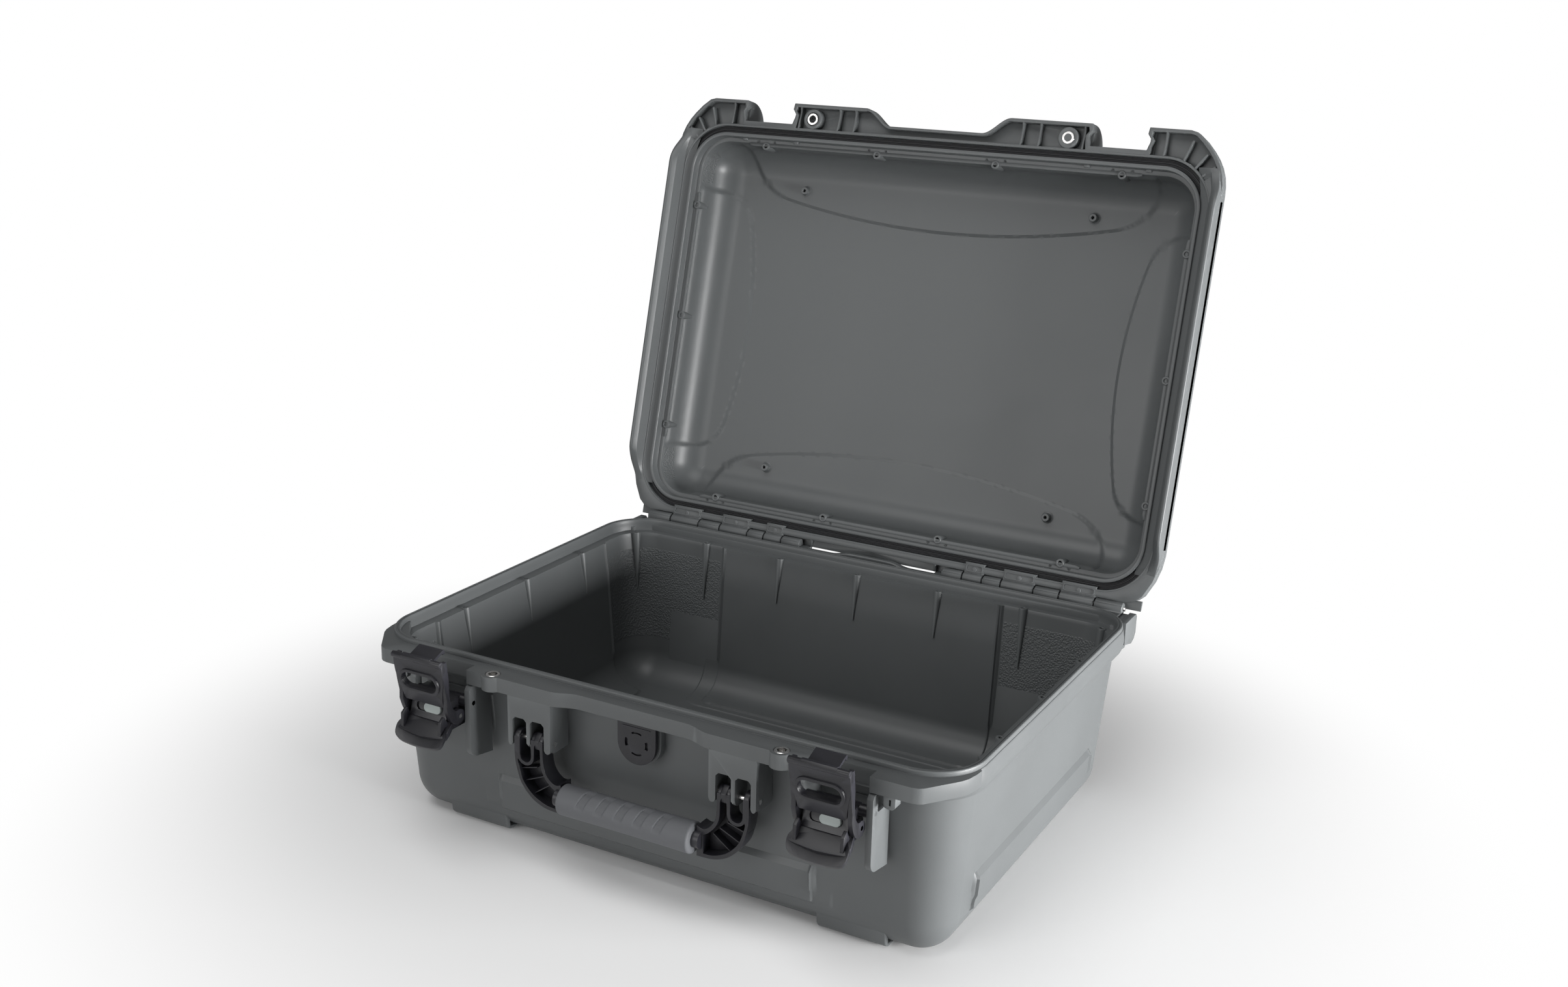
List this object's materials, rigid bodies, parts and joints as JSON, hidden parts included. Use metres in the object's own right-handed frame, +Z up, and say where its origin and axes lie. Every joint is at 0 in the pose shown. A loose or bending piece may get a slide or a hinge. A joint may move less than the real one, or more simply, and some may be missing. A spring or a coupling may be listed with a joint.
{
  "type": "hard tool case",
  "caption": "Open hard tool case with a hinged lid, over-centre latches with slide locks, a drop handle, rubber lid seal, padlock eyelets and pressure valve.",
  "frame": {"origin": "under the middle of the base, on the plane of its underside", "axes": "+X to the right seen from the front, +Y to the back where the hinge is, +Z up"},
  "size_m": [0.55, 0.5826, 0.566],
  "materials": {
    "shell": "satin moulded graphite-grey plastic with grained patches",
    "seal": "soft black rubber",
    "black_plastic": "satin moulded black plastic",
    "lock": "satin light grey plastic",
    "grip": "matt soft-touch grey rubber",
    "steel": "bright turned stainless steel",
    "membrane": "porous white membrane"
  },
  "bodies": {
    "base": {"base_shell": "shell", "base_tray": "shell", "padlock_lug_left": "shell", "padlock_lug_right": "shell", "hinge_pin_left": "steel", "hinge_pin_right": "steel", "latch_pin_left": "steel", "latch_pin_right": "steel", "handle_pin_left": "steel", "handle_pin_right": "steel", "base_eyelet_left": "steel", "base_eyelet_right": "steel", "valve_cover": "black_plastic", "valve_body": "black_plastic", "valve_gasket": "seal", "valve_membrane": "membrane"},
    "lid": {"lid_shell": "shell", "lid_seal": "seal", "lid_eyelet_left": "steel", "lid_eyelet_right": "steel"},
    "lever_left": {"latch_lever_left": "black_plastic", "claw_pin_left": "steel"},
    "lever_right": {"latch_lever_right": "black_plastic", "claw_pin_right": "steel"},
    "claw_left": {"latch_claw_left": "black_plastic"},
    "claw_right": {"latch_claw_right": "black_plastic"},
    "lock_left": {"latch_lock_left": "lock"},
    "lock_right": {"latch_lock_right": "lock"},
    "handle": {"handle_frame": "black_plastic", "handle_grip": "grip"}
  },
  "joints": [
    {"name": "lid_hinge", "type": "hinge", "parent": "base", "child": "lid", "pos_m": [0, 0.2037, 0.1584], "axis": [1, 0, 0], "range_deg": [0, 104.5]},
    {"name": "handle_hinge", "type": "hinge", "parent": "base", "child": "handle", "pos_m": [0, -0.201, 0.11], "axis": [-1, 0, 0], "range_deg": [0, 100]},
    {"name": "lever_left_hinge", "type": "hinge", "parent": "base", "child": "lever_left", "pos_m": [-0.177, -0.206, 0.129], "axis": [-1, 0, 0], "range_deg": [-38, 12]},
    {"name": "claw_left_hinge", "type": "hinge", "parent": "lever_left", "child": "claw_left", "pos_m": [-0.177, -0.215, 0.12], "axis": [-1, 0, 0], "range_deg": [-19, 59.2]},
    {"name": "lock_left_slide", "type": "slide", "parent": "lever_left", "child": "lock_left", "axis": [-1, 0, 0], "range_m": [0, 0.008]},
    {"name": "lever_right_hinge", "type": "hinge", "parent": "base", "child": "lever_right", "pos_m": [0.177, -0.206, 0.129], "axis": [-1, 0, 0], "range_deg": [-38, 12]},
    {"name": "claw_right_hinge", "type": "hinge", "parent": "lever_right", "child": "claw_right", "pos_m": [0.177, -0.215, 0.12], "axis": [-1, 0, 0], "range_deg": [-19, 59.2]},
    {"name": "lock_right_slide", "type": "slide", "parent": "lever_right", "child": "lock_right", "axis": [-1, 0, 0], "range_m": [0, 0.008]}
  ],
  "couplings": [
    {"joint": "claw_left_hinge", "follows": "lever_left_hinge", "ratio": -1.55},
    {"joint": "claw_right_hinge", "follows": "lever_right_hinge", "ratio": -1.55}
  ]
}
